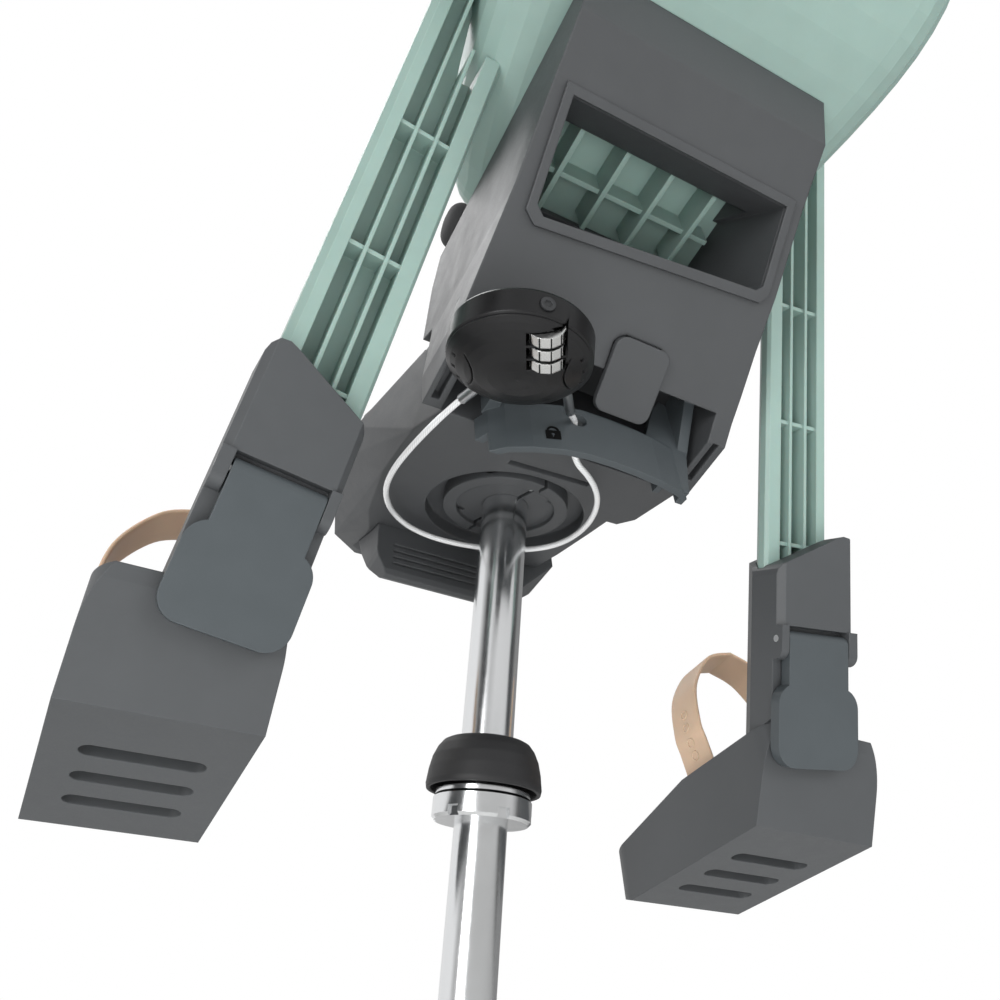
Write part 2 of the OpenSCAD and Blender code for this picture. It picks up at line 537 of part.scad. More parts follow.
module lock_front_shell() color([0.13, 0.13, 0.14]) lock_frame() difference() {
    rotate_extrude($fn = 128) polygon([[0, -7], [lock_r - 0.6, -7], [lock_r - 0.3, -7.8], [25.6, -9.6], [23.4, -11.2], [20, -12.9],
        [16, -14.3], [11, -15.5], [6, -16.1], [0, -16.4]]);
    axle_hole();
    for (i = [-1, 0, 1]) dial_frame() translate([0, 0, i*dial_pitch]) bx(-6.9, 6.9, 0, 12, -2.45, 2.45);
    rotate([0, 0, -30]) for (s = [-1, 1]) {
        difference() {
            translate([s*36.5, 0, -20]) cylinder(r = 20, h = 14, $fn = 128);
            translate([s*36.5, 0, -21]) cylinder(r = 19.3, h = 16, $fn = 128);
            translate([0, 0, -12]) cylinder(r = 60, h = 12, $fn = 64);
        }
        for (a = [-16, 0, 16]) rotate([0, 0, a]) translate([s > 0 ? 23.6 : -25.4, -0.8, -11.5]) cube([1.8, 1.6, 1.6]);
    }
}
module dial(i) {
    lock_frame() dial_frame() translate([0, 0, i*dial_pitch - dial_w/2]) difference() {
        cylinder(r = dial_r, h = dial_w, $fn = 10);
        translate([0, 0, -1]) cylinder(r = 1.5 + pin_gap, h = dial_w + 2, $fn = 48);
        for (k = [0:9]) rotate([0, 0, 36*k]) translate([dial_r - 0.25, -0.5, -1]) cube([1, 1, dial_w + 2]);
    }
}
module dial_a() color([0.8, 0.81, 0.83]) dial(-1);
module dial_b() color([0.8, 0.81, 0.83]) dial(0);
module dial_c() color([0.8, 0.81, 0.83]) dial(1);
module dial_axle() color([0.5, 0.51, 0.53]) lock_frame() dial_frame() translate([0, 0, -10.2]) cylinder(r = 1.5, h = 20.4, $fn = 48);
module lock_button() color([0.16, 0.16, 0.17]) lock_frame() rotate([0, 0, -8]) translate([0, 24.4, -1.6]) rotate([-90, 0, 0]) difference() {
    cylinder(r = 2.8, h = 4.1, $fn = 48);
    translate([0, 0, 3.5]) cylinder(r = 1.5, h = 2, $fn = 6);
}
module wire_ferrule() color([0.75, 0.76, 0.78]) lv() difference() {
    stick(ferrule_a, ferrule_b, 2.3);
    stick(ferrule_a + 0.5*(ferrule_b - ferrule_a), ferrule_a + 1.1*(ferrule_b - ferrule_a), wire_r);
}
module wire_plug() color([0.75, 0.76, 0.78]) lv() difference() {
    stick(plug_a, plug_b, 2);
    stick(plug_a + 0.6*(plug_b - plug_a), plug_a + 1.1*(plug_b - plug_a), wire_r);
}
// Lock wire: ferrule, round the post, through the handle hole, plug
wire_pts = [ferrule_a + 0.55*(ferrule_b - ferrule_a), ferrule_b, [61.8, 64, -22.6], [65, 52, -23.4], [67.8, 38, -24.3], [69.6, 22, -21.6],
    [66.8, 5, -16.6], [60.8, -7.4, -11.2], [52, -21, -6], [42.6, -29.6, -2.4], [32, -33.4, -1.6], [20, -34, -2], [9, -31.6, -3],
    [-4, -27.2, -4.8], [-18, -18.6, -8], [-27.6, -9.6, -10.6], [-31, 2, -14], [-31, 14, -18.8], [-29.6, 27, -22.8], [-26.6, 38.6, -25],
    [-21, 49.4, -27.6], [-13.8, 57.6, -29.8], [-6, 62.4, -30.4], [1, 66, -29.8], [5.4, 70, -26.8], [7.8, 75, -22.6], [10, 80, -21.8],
    [13, 83.4, -24], plug_b, plug_b + 0.35*(plug_a - plug_b)];
function soften(p) = [for (i = [0:len(p)-1])
    i < 2 || i > len(p) - 8 ? p[i] : (p[i-1] + 2*p[i] + p[i+1])/4];
module lock_wire() color([0.78, 0.79, 0.81]) lv() tube(smooth_pts(soften(soften(wire_pts)), 2), wire_r, 8, [0, 0.3, 1]);

// Soft seat parts
seat_spine = [[106, 104.2], [140, 104.2], [180, 104.2], [214, 105.2], [240, 110.2], [258, 118.6]];
back_spine = [[288, 176], [292.5, 195], [299, 225], [307, 265], [315, 305], [322, 342], [325.5, 356]];
module seat_cushion() color([0.3, 0.31, 0.33]) lv() difference() {
    ribbon([for (p = smooth_pts(seat_spine, 3)) p + 7*unit([fan_y - p[0], fan_z - p[1]])], 10.4, -60, 60);
    rbox(-16, 16, 164, 176, 95, 130, 3);
}
module back_cushion() color([0.3, 0.31, 0.33]) lv() difference() {
    ribbon([for (p = smooth_pts(back_spine, 3)) p + 7.6*unit([fan_y - p[0], fan_z - p[1]])], 11.4, -66, 66);
    for (s = [-1, 1]) translate([s*36, 310, 324]) cube([30, 60, 10], center = true);
}
strap_line = smooth_pts([[318, 323.2], [306, 322], [299, 316], [290.5, 290], [284.5, 260], [278, 225], [268, 195], [250, 163], [228, 136], [214, 127.5]], 3);
module shoulder_strap(s) {
    lv() ribbon(strap_line, 1.8, s*36 - 12, s*36 + 12);
}
module left_shoulder_strap() color([0.13, 0.13, 0.14]) shoulder_strap(1);
module right_shoulder_strap() color([0.13, 0.13, 0.14]) shoulder_strap(-1);
pad_line = smooth_pts([[290.5 - 4.2, 291], [284.5 - 4.2, 261], [278 - 4.2, 226], [268 - 4.2, 197]], 4);
module shoulder_pad(s) {
    lv() ribbon(pad_line, 6, s*36 - 19, s*36 + 19);
}
module left_shoulder_pad() color([0.36, 0.37, 0.39]) shoulder_pad(1);
module right_shoulder_pad() color([0.36, 0.37, 0.39]) shoulder_pad(-1);
module crotch_strap() color([0.13, 0.13, 0.14]) lv()
    ribbon(smooth_pts([[170, 101.5], [170, 112], [171, 119], [176, 123.5], [185.6, 124.5]], 3), 1.8, -12, 12);
module buckle_body() color([0.12, 0.12, 0.13]) lv() difference() {
    rbox(-24, 24, 186, 222, 119.6, 131, 9);
    rbox(-9.1, 9.1, 195.9, 214.1, 123, 140, 4.1);
}
module buckle_button() color([0.75, 0.2, 0.17]) lv() rbox(-9, 9, 196, 214, 125.5, 132.5, 4);
module buckle_tongues() color([0.2, 0.2, 0.21]) lv() for (s = [-1, 1]) rbox(s*36.4 - 12.2, s*36.4 + 12.2, 196, 214, 121.5, 125.5, 3);

// Front grip for the child's hands
grip_hw = 41;
module grip_posts() color([0.3, 0.3, 0.31]) lv() for (s = [-1, 1]) {
    translate([s*22, 22, 43]) cylinder(r = 7, h = 158, $fn = 64);
    translate([s*22, 22, 43]) cylinder(r = 11, h = 5, $fn = 64);
}
module grip_pad() color([0.22, 0.22, 0.23]) lv() difference() {
    translate([0, 22, 212]) rotate([0, 90, 0]) rotate_extrude($fn = 96)
        polygon(concat([[0, -grip_hw]], [for (a = [0:10:90]) [7 + 8*sin(a), 8 - grip_hw - 8*cos(a)]],
            [for (a = [90:10:180]) [7 + 8*sin(a), grip_hw - 8 - 8*cos(a)]], [[0, grip_hw]]));
    for (s = [-1, 1]) translate([s*22, 22, 43]) cylinder(r = 7, h = 158, $fn = 64);
}

mounting_post();
quill_wedge();
quill_bolt();
post_boot();
post_nut();
clamp_half_left();
clamp_half_right();
clamp_bolt_front();
clamp_bolt_rear();
base_housing();
front_bumper();
base_console();
console_fascia();
seat_shell();
shell_rim();
pan_ribs();
seat_bolts();
left_leg();
right_leg();
left_footrest();
right_footrest();
left_flap_pin();
right_flap_pin();
left_flap();
right_flap();
left_foot_tray();
right_foot_tray();
left_foot_strap();
right_foot_strap();
left_strap_studs();
right_strap_studs();
release_handle();
handle_symbol();
handle_pins();
handle_spring();
safety_tab();
tab_pin();
lock_back_shell();
lock_front_shell();
dial_a();
dial_b();
dial_c();
dial_axle();
lock_button();
wire_ferrule();
wire_plug();
lock_wire();
seat_cushion();
back_cushion();
left_shoulder_strap();
right_shoulder_strap();
left_shoulder_pad();
right_shoulder_pad();
crotch_strap();
buckle_body();
buckle_button();
buckle_tongues();
grip_posts();
grip_pad();
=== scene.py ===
# Front-mounted child bicycle seat on its post, with a combination lock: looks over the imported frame.
import json
import math

import bpy
from mathutils import Matrix, Vector
from mathutils.bvhtree import BVHTree


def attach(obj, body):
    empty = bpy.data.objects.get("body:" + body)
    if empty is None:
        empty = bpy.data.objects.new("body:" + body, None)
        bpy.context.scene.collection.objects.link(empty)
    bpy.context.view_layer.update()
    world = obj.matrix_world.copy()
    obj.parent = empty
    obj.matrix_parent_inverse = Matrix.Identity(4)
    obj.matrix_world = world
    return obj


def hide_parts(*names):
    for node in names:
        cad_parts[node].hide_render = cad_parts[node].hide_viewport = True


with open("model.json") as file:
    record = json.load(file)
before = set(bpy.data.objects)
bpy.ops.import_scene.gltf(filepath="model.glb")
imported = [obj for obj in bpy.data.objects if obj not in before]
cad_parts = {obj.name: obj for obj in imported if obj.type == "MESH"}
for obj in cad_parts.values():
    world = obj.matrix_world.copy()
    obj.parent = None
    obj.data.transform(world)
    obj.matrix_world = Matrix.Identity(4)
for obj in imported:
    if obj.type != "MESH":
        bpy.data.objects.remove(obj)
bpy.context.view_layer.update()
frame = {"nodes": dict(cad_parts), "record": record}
NODES = frame["nodes"]
scene = bpy.context.scene
Q = Vector((0.0, 0.038823, 0.144889))


def mm(x, y, z):
    """A point given in millimetres from the top of the post."""
    return Q + Vector((x, y, z)) * 0.001


# ---------------------------------------------------------------- camera
VIEW = Vector((-0.3655, -0.6355, 0.6802)).normalized()
UP = Vector((0.2789, 0.6224, 0.7313))
RIGHT = VIEW.cross(UP).normalized()
UP = RIGHT.cross(VIEW)
camera_data = bpy.data.cameras.new("camera")
camera_data.lens = 31.32
camera_data.sensor_width = 36.0
camera_data.clip_start = 0.01
camera_data.clip_end = 60.0
camera = bpy.data.objects.new("camera", camera_data)
pose = Matrix((RIGHT, UP, -VIEW)).transposed().to_4x4()
pose.translation = Vector((0.1621, 0.3162, -0.1475))
camera.matrix_world = pose
scene.collection.objects.link(camera)
scene.camera = camera
scene.view_settings.view_transform = "Standard"


# ---------------------------------------------------------------- node helpers
class Tree:
    """Short calls for building one node tree."""

    def __init__(self, tree):
        self.tree = tree
        tree.nodes.clear()

    def add(self, kind, inputs=None, **props):
        node = self.tree.nodes.new("ShaderNode" + kind)
        for key, value in props.items():
            setattr(node, key, value)
        for key, value in (inputs or {}).items():
            if isinstance(value, bpy.types.NodeSocket):
                self.tree.links.new(value, node.inputs[key])
            else:
                node.inputs[key].default_value = value
        return node

    def math(self, op, a, b=0.0, c=0.0, clamp=False):
        return self.add("Math", {0: a, 1: b, 2: c}, operation=op, use_clamp=clamp).outputs[0]

    def fit(self, value, low, high, to_low, to_high):
        node = self.add("MapRange", {"Value": value, 1: low, 2: high, 3: to_low, 4: to_high})
        return node.outputs["Result"]

    def mix(self, factor, a, b):
        node = self.add("Mix", data_type="RGBA")
        for socket, value in ((0, factor), (6, a), (7, b)):
            if isinstance(value, bpy.types.NodeSocket):
                self.tree.links.new(value, node.inputs[socket])
            else:
                node.inputs[socket].default_value = value
        return node.outputs[2]

    def noise(self, vector, scale, detail=3.0, rough=0.5):
        inputs = {"Vector": vector, "Scale": scale, "Detail": detail, "Roughness": rough}
        return self.add("TexNoise", inputs).outputs[0]


def rgb(c, k=1.0):
    return (min(1, c[0] * k), min(1, c[1] * k), min(1, c[2] * k), 1.0)


def surface(name, colour, rough, metal=0.0, pattern=None, grain=900.0, bump=0.12, depth=0.0001,
            vary=0.10, edge=0.5, edge_r=0.0007, rough_vary=0.07, stretch=(1, 1, 1), turn=(0, 0, 0),
            **sockets):
    """A procedural material: colour drift, fine moulded grain, edges lightened partly as rubbed wear
    and partly as a painted highlight, and an optional pattern.

    sockets holds constants for the shader's other inputs, by name.
    """
    material = bpy.data.materials.new(name)
    material.use_nodes = True
    t = Tree(material.node_tree)
    out = t.add("OutputMaterial")
    shader = t.add("BsdfPrincipled", {"Metallic": metal, **sockets})
    t.tree.links.new(shader.outputs[0], out.inputs[0])
    coords = t.add("TexCoord")
    where = coords.outputs["Object"]
    drift = t.noise(where, 14.0, 4.0, 0.6)
    cloud = t.noise(where, 95.0, 5.0, 0.65)
    turned = t.add("Mapping", {"Vector": where, "Rotation": turn, "Scale": stretch}).outputs[0]
    fine = t.noise(turned, grain, 3.0, 0.6)
    tone = t.math("ADD", t.math("MULTIPLY", drift, 0.6), t.math("MULTIPLY", cloud, 0.4))
    base = t.mix(t.fit(tone, 0.3, 0.7, 0.0, 1.0), rgb(colour, 1 - vary), rgb(colour, 1 + vary))
    height = fine
    if pattern:
        base, height = pattern(t, coords, base, fine, colour)
    if edge:
        soft = t.add("Bevel", {"Radius": edge_r}, samples=4)
        flat = t.add("NewGeometry")
        dot = t.add("VectorMath", {0: soft.outputs[0], 1: flat.outputs["Normal"]},
                    operation="DOT_PRODUCT")
        # Lighter colour along edges: partly rubbed wear, partly a painted highlight where softened
        # edges catch light.
        edge_wear_and_highlight = t.fit(dot.outputs["Value"], 0.985, 0.80, 0.0, edge)
        edge_wear_and_highlight = t.math("MULTIPLY", edge_wear_and_highlight, t.fit(cloud, 0.35, 0.6, 0.4, 1.0), clamp=True)
        base = t.mix(edge_wear_and_highlight, base, rgb(colour, 1.9))
        relief = {"Strength": bump, "Distance": depth, "Height": height, "Normal": soft.outputs[0]}
        normal = t.add("Bump", relief)
    else:
        normal = t.add("Bump", {"Strength": bump, "Distance": depth, "Height": height})
    mottled = t.math("ADD", t.math("MULTIPLY", cloud, 0.6), t.math("MULTIPLY", fine, 0.4))
    roughness = t.fit(mottled, 0.3, 0.7, max(0.03, rough - rough_vary), min(1, rough + rough_vary))
    t.tree.links.new(base, shader.inputs["Base Color"])
    t.tree.links.new(roughness, shader.inputs["Roughness"])
    t.tree.links.new(normal.outputs[0], shader.inputs["Normal"])
    return material


def stripes(t, value, pitch):
    return t.math("SINE", t.math("MULTIPLY", value, 2 * math.pi / pitch))


def cloth_weave(first, second, pitch):
    """Plain weave over two axes of the object's own coordinates."""
    def build(t, coords, base, fine, colour):
        split = t.add("SeparateXYZ", {0: coords.outputs["Object"]})
        loose = t.math("SUBTRACT", t.noise(coords.outputs["Object"], 300.0), 0.5)
        wobble = t.math("MULTIPLY", loose, pitch * 0.9)
        a = stripes(t, t.math("ADD", split.outputs[first], wobble), pitch)
        b = stripes(t, t.math("ADD", split.outputs[second], wobble), pitch)
        weave = t.math("MULTIPLY", a, b)
        raised = t.fit(weave, -1.0, 1.0, 0.0, 1.0)
        height = t.math("ADD", t.math("MULTIPLY", raised, 0.75), t.math("MULTIPLY", fine, 0.25))
        return t.mix(t.fit(weave, -0.6, 0.8, 0.45, 0.0), base, rgb(colour, 0.45)), height
    return build


def strap_weave(t, coords, base, fine, colour):
    """Ribbed webbing: herringbone ribs along the strap and tight selvedges."""
    split = t.add("SeparateXYZ", {0: coords.outputs["UV"]})
    across, along = split.outputs[0], split.outputs[1]
    slant = t.math("PINGPONG", across, 0.003)
    a = stripes(t, t.math("ADD", along, t.math("MULTIPLY", slant, 0.9)), 0.0014)
    b = stripes(t, across, 0.0017)
    weave = t.math("ADD", t.math("MULTIPLY", a, 0.6), t.math("MULTIPLY", b, 0.4))
    height = t.math("ADD", t.fit(weave, -1.0, 1.0, 0.0, 0.85), t.math("MULTIPLY", fine, 0.15))
    return t.mix(t.fit(weave, -1.0, 0.7, 0.6, 0.0), base, rgb(colour, 0.4)), height


def wire_twist(t, coords, base, fine, colour):
    """Stranded steel seen through a thin clear coat."""
    split = t.add("SeparateXYZ", {0: coords.outputs["UV"]})
    a = stripes(t, t.math("ADD", split.outputs[1], t.math("MULTIPLY", split.outputs[0], 1.3)), 0.0016)
    return t.mix(t.fit(a, -1.0, 0.2, 0.35, 0.0), base, rgb(colour, 0.5)), t.fit(a, -1.0, 1.0, 0.0, 1.0)


def scratches(t, coords, base, fine, colour):
    """Faint handling scratches over a polished or brushed metal."""
    where = coords.outputs["Object"]
    cells = {"Vector": where, "Scale": 120.0, "Randomness": 1.0}
    lines = t.add("TexVoronoi", cells, feature="DISTANCE_TO_EDGE")
    mask = t.fit(lines.outputs["Distance"], 0.0, 0.012, 1.0, 0.0)
    mask = t.math("MULTIPLY", mask, t.fit(t.noise(where, 40.0), 0.5, 0.7, 0.0, 0.35))
    return t.mix(mask, base, rgb(colour, 0.7)), fine


MATS = {}


def paint(name, colour, **settings):
    MATS[name] = surface(name, colour, **settings)


paint("post_chrome", (0.83, 0.84, 0.85), rough=0.19, metal=1.0, pattern=scratches, grain=420.0,
      bump=0.05, depth=0.00004, vary=0.03, edge=0.0, rough_vary=0.05, stretch=(6, 6, 0.25),
      turn=(math.radians(15), 0, 0))
paint("steel", (0.52, 0.53, 0.54), rough=0.30, metal=1.0, pattern=scratches, grain=700.0, bump=0.10,
      depth=0.00005, vary=0.06, edge=0.3)
paint("boot_rubber", (0.015, 0.015, 0.016), rough=0.55, grain=1300.0, bump=0.20, depth=0.00012,
      vary=0.15, edge=0.35, edge_r=0.0014)
paint("base_plastic", (0.058, 0.061, 0.0645), rough=0.50, grain=1500.0, bump=0.22, vary=0.08,
      edge_r=0.0014)
paint("handle_plastic", (0.058, 0.068, 0.074), rough=0.46, grain=1500.0, bump=0.20, vary=0.08,
      edge=0.55)
paint("dark_plastic", (0.025, 0.026, 0.028), rough=0.48, grain=1400.0, bump=0.20, edge=0.45)
paint("shell_mint", (0.262, 0.370, 0.335), rough=0.42, grain=1200.0, bump=0.14, vary=0.06, edge=0.35,
      **{"Subsurface Weight": 0.08, "Subsurface Scale": 0.004})
paint("foot_plastic", (0.062, 0.066, 0.070), rough=0.50, grain=1500.0, bump=0.22, vary=0.08)
paint("strap_rubber", (0.60, 0.43, 0.30), rough=0.42, vary=0.07, edge=0.0,
      **{"Subsurface Weight": 0.12, "Subsurface Scale": 0.003})
paint("lock_black", (0.022, 0.022, 0.023), rough=0.33, metal=0.6, grain=500.0, bump=0.16, depth=0.00006,
      stretch=(5, 5, 0.3), turn=(math.radians(17.9), 0, 0))
paint("dial_metal", (0.80, 0.80, 0.79), rough=0.22, metal=1.0, bump=0.15, depth=0.00005, vary=0.05,
      edge=0.4)
paint("wire_coat", (0.92, 0.93, 0.94), rough=0.20, metal=0.25, pattern=wire_twist, bump=0.3, vary=0.04,
      edge=0.0, **{"Coat Weight": 0.8, "Coat Roughness": 0.08})
paint("cushion_fabric", (0.105, 0.112, 0.122), rough=0.86, pattern=cloth_weave(0, 1, 0.0016), bump=0.5,
      depth=0.00025, vary=0.08, edge=0.0, **{"Sheen Weight": 0.35, "Sheen Roughness": 0.5})
paint("back_fabric", (0.105, 0.112, 0.122), rough=0.86, pattern=cloth_weave(0, 2, 0.0016), bump=0.5,
      depth=0.00025, vary=0.08, edge=0.0, **{"Sheen Weight": 0.35, "Sheen Roughness": 0.5})
paint("pad_fabric", (0.16, 0.17, 0.18), rough=0.88, pattern=cloth_weave(0, 2, 0.0013), bump=0.5,
      depth=0.0002, vary=0.08, edge=0.0, **{"Sheen Weight": 0.35, "Sheen Roughness": 0.5})
paint("webbing", (0.020, 0.020, 0.022), rough=0.74, pattern=strap_weave, bump=0.6, depth=0.00025,
      edge=0.0, **{"Sheen Weight": 0.25, "Sheen Roughness": 0.4})
paint("print_black", (0.004, 0.004, 0.004), rough=0.75, grain=1500.0, bump=0.1, depth=0.00004, edge=0.0,
      **{"Specular IOR Level": 0.15})
paint("button_red", (0.46, 0.035, 0.025), rough=0.38, grain=1300.0, depth=0.00008, vary=0.06, edge=0.4)
paint("grip_foam", (0.030, 0.030, 0.032), rough=0.80, grain=650.0, bump=0.5, depth=0.0003, vary=0.14,
      edge=0.0)
paint("thread", (0.33, 0.34, 0.35), rough=0.70, grain=2500.0, bump=0.3, depth=0.00005, vary=0.06,
      edge=0.0)

SHARP_ANGLE = math.radians(28)
slot_of = {part["node"]: part["material_slot"] for part in frame["record"]["subparts"]}
for name, node in NODES.items():
    node.data.materials.clear()
    node.data.materials.append(MATS[slot_of[name]])
    node.data.polygons.foreach_set("use_smooth", [True] * len(node.data.polygons))
    node.data.set_sharp_from_angle(angle=SHARP_ANGLE)
    weigh = node.modifiers.new("weigh", "WEIGHTED_NORMAL")
    weigh.keep_sharp = True


# ---------------------------------------------------------------- mesh helpers
def make(name, verts, faces, mat, body, uvs=None, smooth=True, sharp=None):
    """A new mesh piece that rides on a body; uvs holds one pair for each vertex, in metres."""
    mesh = bpy.data.meshes.new(name)
    mesh.from_pydata([tuple(v) for v in verts], [], faces)
    mesh.update()
    if uvs:
        layer = mesh.uv_layers.new(name="cloth")
        for loop in mesh.loops:
            layer.data[loop.index].uv = uvs[loop.vertex_index]
    mesh.materials.append(MATS[mat])
    mesh.polygons.foreach_set("use_smooth", [smooth] * len(mesh.polygons))
    if sharp:
        mesh.set_sharp_from_angle(angle=math.radians(sharp))
    obj = bpy.data.objects.new(name, mesh)
    scene.collection.objects.link(obj)
    bpy.context.view_layer.update()
    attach(obj, body)
    return obj


def spline(points, steps):
    """Catmull-Rom curve through the points."""
    result = []
    last = len(points) - 1
    for i in range(last):
        a, b, c, d = points[max(i - 1, 0)], points[i], points[i + 1], points[min(i + 2, last)]
        for j in range(steps):
            u = j / steps
            result.append(0.5 * (2 * b + (c - a) * u + (2 * a - 5 * b + 4 * c - d) * u * u
                                 + (3 * b - a - 3 * c + d) * u ** 3))
    result.append(points[last])
    return result


def frames(path, side):
    """Tangent and outward normal at each point of a path, for a band whose width runs along side."""
    result = []
    for i in range(len(path)):
        tangent = (path[min(i + 1, len(path) - 1)] - path[max(i - 1, 0)]).normalized()
        result.append((tangent, side.cross(tangent).normalized()))
    return result


def lengths(path):
    """Distance from the start at each point of a path."""
    total, result = 0.0, [0.0]
    for a, b in zip(path, path[1:]):
        total += (b - a).length
        result.append(total)
    return result


def nearest(along, distance):
    """The point of a path that lies nearest to a distance along it."""
    return min(range(len(along)), key=lambda i: abs(along[i] - distance))


def loft(path, side, section):
    """A closed loop carried along a path; section(i, s) gives its (across, out) pairs in metres."""
    along = lengths(path)
    verts, uvs, count = [], [], 0
    for i, (tangent, normal) in enumerate(frames(path, side)):
        loop = section(i, along[i] / along[-1])
        count = len(loop)
        for across, out in loop:
            verts.append(path[i] + side * across + normal * out)
            uvs.append((across + 0.5, along[i]))
    faces = []
    for i in range(len(path) - 1):
        for k in range(count):
            a, b = i * count + k, i * count + (k + 1) % count
            faces.append((a, b, b + count, a + count))
    faces.append(tuple(range(count - 1, -1, -1)))
    faces.append(tuple(range(len(verts) - count, len(verts))))
    return verts, faces, uvs


def flat_section(width, thick, round_r, cells=6):
    """A flat strap's loop: rounded long edges, and points across its faces."""
    half, t = width / 2, thick / 2
    r = min(round_r, t)
    top = [(-half + r + (width - 2 * r) * k / cells, t) for k in range(cells + 1)]
    turns = [math.pi * k / 6 for k in range(1, 6)]
    right = [(half - r + r * math.sin(a), t * math.cos(a)) for a in turns]
    bottom = [(half - r - (width - 2 * r) * k / cells, -t) for k in range(cells + 1)]
    left = [(-half + r - r * math.sin(a), -t * math.cos(a)) for a in turns]
    return top + right + bottom + left


def band(name, path, side, width, thick, mat, body, edge_r=0.0006):
    """A flat strap along a path."""
    section = flat_section(width, thick, edge_r)
    verts, faces, uvs = loft(path, side, lambda i, s: section)
    return make(name, verts, faces, mat, body, uvs=uvs, sharp=50)


def tube(name, path, radius, mat, body, sides):
    """A round tube on a path, with its frame carried along so it doesn't twist."""
    verts, uvs, faces = [], [], []
    along = lengths(path)
    up = Vector((0.13, 0.31, 0.94))
    for i, p in enumerate(path):
        t = (path[min(i + 1, len(path) - 1)] - path[max(i - 1, 0)]).normalized()
        up = (up - t * up.dot(t)).normalized()
        other = t.cross(up)
        for k in range(sides):
            a = 2 * math.pi * k / sides
            verts.append(p + (up * math.cos(a) + other * math.sin(a)) * radius)
            uvs.append((radius * a, along[i]))
    for i in range(len(path) - 1):
        for k in range(sides):
            a, b = i * sides + k, i * sides + (k + 1) % sides
            faces.append((a, a + sides, b + sides, b))
    faces.append(tuple(range(sides)))
    faces.append(tuple(range(len(verts) - 1, len(verts) - sides - 1, -1)))
    return make(name, verts, faces, mat, body, uvs=uvs, sharp=60)


STITCH_LENGTH = 0.0026
STITCH_RADIUS = 0.00035
STITCH_PITCH = 0.0042
STITCH_RINGS = ((-0.5, 0.35, 0.0), (-0.3, 1.0, 0.6), (0.3, 1.0, 0.6), (0.5, 0.35, 0.0))


def stitches(name, spots, body):
    """Short raised threads: spots holds (place, direction, outward normal)."""
    verts, faces = [], []
    for place, along, out in spots:
        along = along.normalized()
        across = along.cross(out).normalized()
        base = len(verts)
        for u, r, lift in STITCH_RINGS:
            for k in range(6):
                a = math.pi * k / 3
                verts.append(place + along * (u * STITCH_LENGTH) + out * (lift * STITCH_RADIUS)
                             + (across * math.cos(a) + out * math.sin(a)) * STITCH_RADIUS * r)
        for j in range(3):
            for k in range(6):
                a, b = base + j * 6 + k, base + j * 6 + (k + 1) % 6
                faces.append((a, b, b + 6, a + 6))
        faces.append(tuple(base + k for k in range(5, -1, -1)))
        faces.append(tuple(base + 18 + k for k in range(6)))
    return make(name, verts, faces, "thread", body)


def eyelet(verts, faces, centre, first, second, out, radius, thick, around=20, ring=6):
    """Adds a small raised ring that lies on a surface."""
    base = len(verts)
    for a in range(around):
        angle = 2 * math.pi * a / around
        spoke = first * math.cos(angle) + second * math.sin(angle)
        for b in range(ring):
            turn = 2 * math.pi * b / ring
            verts.append(centre + spoke * (radius + thick * math.cos(turn))
                         + out * (thick * math.sin(turn)))
    for a in range(around):
        for b in range(ring):
            p, q = a * ring + b, a * ring + (b + 1) % ring
            p2, q2 = ((a + 1) % around) * ring + b, ((a + 1) % around) * ring + (b + 1) % ring
            faces.append((base + p, base + p2, base + q2, base + q))


SWELL_FRAMES = 20
SWELL_PRESSURE = 4.0


def swell(obj, voxel, cap):
    """Inflates a closed form by cloth simulation, with no point moving further than cap."""
    remesh = obj.modifiers.new("remesh", "REMESH")
    remesh.mode = "VOXEL"
    remesh.voxel_size = voxel
    apply_modifiers(obj)
    start = [v.co.copy() for v in obj.data.vertices]
    cloth = obj.modifiers.new("cloth", "CLOTH")
    cloth.settings.quality = 4
    cloth.settings.mass = 0.2
    cloth.settings.use_pressure = True
    cloth.settings.uniform_pressure_force = SWELL_PRESSURE
    cloth.settings.tension_stiffness = 12
    cloth.settings.compression_stiffness = 12
    cloth.settings.bending_stiffness = 0.4
    cloth.settings.effector_weights.gravity = 0.0
    cloth.point_cache.frame_start = 1
    cloth.point_cache.frame_end = SWELL_FRAMES
    for number in range(1, SWELL_FRAMES + 1):
        scene.frame_set(number)
    apply_modifiers(obj)
    scene.frame_set(1)
    for v, was in zip(obj.data.vertices, start):
        move = v.co - was
        if move.length > cap:
            v.co = was + move.normalized() * cap
    finer = obj.modifiers.new("finer", "SUBSURF")
    finer.levels = 1
    apply_modifiers(obj)
    obj.data.polygons.foreach_set("use_smooth", [True] * len(obj.data.polygons))


def apply_modifiers(obj):
    """Gives an object its modified mesh as its own."""
    graph = bpy.context.evaluated_depsgraph_get()
    graph.update()
    mesh = bpy.data.meshes.new_from_object(obj.evaluated_get(graph), depsgraph=graph)
    obj.modifiers.clear()
    old = obj.data
    obj.data = mesh
    bpy.data.meshes.remove(old)


def path_place(path, along, side, point):
    """Where a point lies on a band: distance along, across and out from it, and the outward normal."""
    def gap(i):
        return (path[i] - point + side * side.dot(point - path[i])).length_squared

    best = min(range(len(path) - 1), key=gap)
    tangent = (path[best + 1] - path[max(best - 1, 0)]).normalized()
    normal = side.cross(tangent).normalized()
    offset = point - path[best]
    return along[best] + offset.dot(tangent), offset.dot(side), offset.dot(normal), normal


END_ROUND = 0.016
CHANNEL_HALF = 0.0028
CHANNEL_PULL = 0.62


